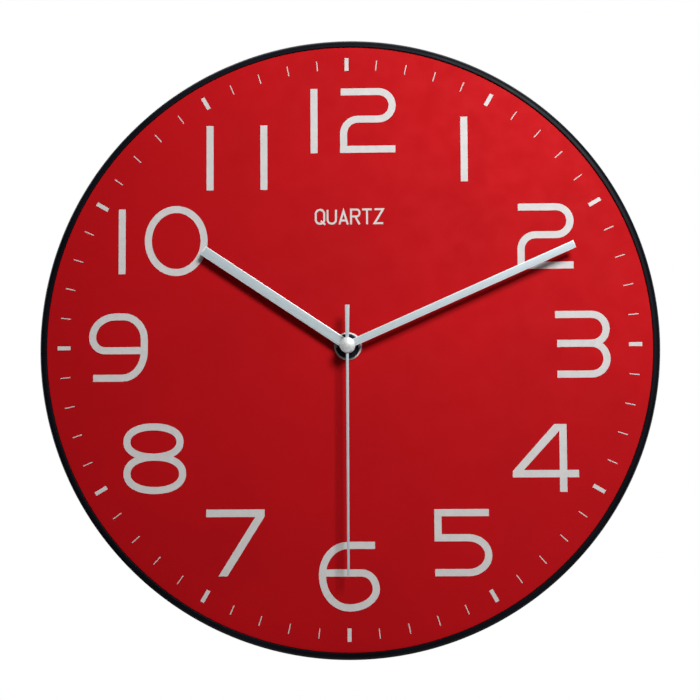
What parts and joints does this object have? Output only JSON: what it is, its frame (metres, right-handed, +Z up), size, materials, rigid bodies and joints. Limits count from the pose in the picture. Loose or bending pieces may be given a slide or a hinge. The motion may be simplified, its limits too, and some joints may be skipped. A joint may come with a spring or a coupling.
{
  "type": "wall clock",
  "caption": "Round battery wall clock: red dial in a thin black rim, plain straight hands, quartz movement with its gear train, keyhole hanger.",
  "frame": {"origin": "where the hand axis meets the wall plane, which is the plane of the case's rear rim", "axes": "+Z up to 12 o'clock, -Y out of the wall through the dial, +X to 3 o'clock seen from the front"},
  "size_m": [0.3, 0.033, 0.3],
  "materials": {
    "case_plastic": "smooth glossy black moulding",
    "dial_paint": "satin red paint",
    "dial_print": "silk-screen ink, slightly uneven",
    "hand_metal": "fine brushed satin",
    "cap_metal": "turned satin",
    "collet_metal": "dark turned",
    "hanger_steel": "zinc plated",
    "screw_steel": "zinc plated",
    "brass": "turned",
    "gasket_rubber": "matte",
    "movement_plastic": "fine moulded grain",
    "knob_plastic": "fine moulded grain",
    "bridge_plastic": "moulded",
    "gear_plastic": "moulded acetal",
    "arbor_steel": "ground",
    "cell_jacket": "printed film with a metal end",
    "contact_metal": "tin plated spring sheet",
    "board_laminate": "solder mask",
    "chip_resin": "epoxy drop",
    "crystal_can": "plated",
    "bobbin_plastic": "moulded",
    "copper_wire": "enamelled copper wire",
    "iron_sheet": "stamped sheet",
    "magnet": "sintered"
  },
  "bodies": {
    "clock_case": {"case_shell": "case_plastic", "dial_plate": "dial_paint", "hanger_plate": "hanger_steel", "hanger_screws": "screw_steel", "movement_gasket": "gasket_rubber", "bush_washer": "cap_metal", "bush_nut": "collet_metal", "threaded_bush": "brass", "front_housing": "movement_plastic", "train_bridge": "bridge_plastic", "rear_cover": "movement_plastic", "battery_cell": "cell_jacket", "battery_contact_positive": "contact_metal", "battery_contact_negative": "contact_metal", "circuit_board": "board_laminate", "driver_chip": "chip_resin", "quartz_crystal": "crystal_can", "coil_bobbin": "bobbin_plastic", "coil_winding": "copper_wire", "coil_core": "iron_sheet", "stator": "iron_sheet"},
    "second_work": {"second_wheel": "gear_plastic", "second_arbor": "arbor_steel", "second_hand": "hand_metal", "second_hand_collet": "collet_metal", "second_hand_cap": "cap_metal"},
    "motor_rotor": {"rotor_magnet": "magnet", "rotor_pinion": "gear_plastic"},
    "intermediate_work": {"intermediate_wheel": "gear_plastic"},
    "third_work": {"third_wheel": "gear_plastic"},
    "centre_work": {"centre_wheel": "gear_plastic"},
    "minute_work": {"minute_arbor": "brass", "clutch_spring": "contact_metal", "minute_hand": "hand_metal", "minute_hand_collet": "collet_metal"},
    "motion_work": {"motion_wheel": "gear_plastic", "setting_knob": "knob_plastic"},
    "hour_work": {"hour_wheel": "gear_plastic", "hour_hand": "hand_metal", "hour_hand_collet": "collet_metal"}
  },
  "joints": [
    {"name": "second_hand_turn", "type": "hinge", "parent": "clock_case", "child": "second_work", "pos_m": [0, 0, 0], "axis": [0, 1, 0], "continuous": true},
    {"name": "rotor_spin", "type": "hinge", "parent": "clock_case", "child": "motor_rotor", "pos_m": [0.00108, 0, 0.00698], "axis": [0, 1, 0], "continuous": true},
    {"name": "intermediate_spin", "type": "hinge", "parent": "clock_case", "child": "intermediate_work", "pos_m": [0.01151, 0, 0.00419], "axis": [0, 1, 0], "continuous": true},
    {"name": "third_spin", "type": "hinge", "parent": "clock_case", "child": "third_work", "pos_m": [-0.01224, 0, 0], "axis": [0, 1, 0], "continuous": true},
    {"name": "centre_spin", "type": "hinge", "parent": "clock_case", "child": "centre_work", "pos_m": [0, 0, 0], "axis": [0, 1, 0], "continuous": true},
    {"name": "minute_hand_turn", "type": "hinge", "parent": "clock_case", "child": "minute_work", "pos_m": [0, 0, 0], "axis": [0, 1, 0], "continuous": true},
    {"name": "setting_knob_turn", "type": "hinge", "parent": "clock_case", "child": "motion_work", "pos_m": [0.01039, 0, -0.006], "axis": [0, 1, 0], "continuous": true},
    {"name": "hour_hand_turn", "type": "hinge", "parent": "clock_case", "child": "hour_work", "pos_m": [0, 0, 0], "axis": [0, 1, 0], "continuous": true}
  ],
  "couplings": [
    {"joint": "rotor_spin", "follows": "second_hand_turn", "ratio": 30},
    {"joint": "intermediate_spin", "follows": "second_hand_turn", "ratio": -6},
    {"joint": "third_spin", "follows": "second_hand_turn", "ratio": -0.13333},
    {"joint": "centre_spin", "follows": "second_hand_turn", "ratio": 0.016667},
    {"joint": "setting_knob_turn", "follows": "minute_hand_turn", "ratio": -0.33333},
    {"joint": "hour_hand_turn", "follows": "minute_hand_turn", "ratio": 0.083333}
  ]
}
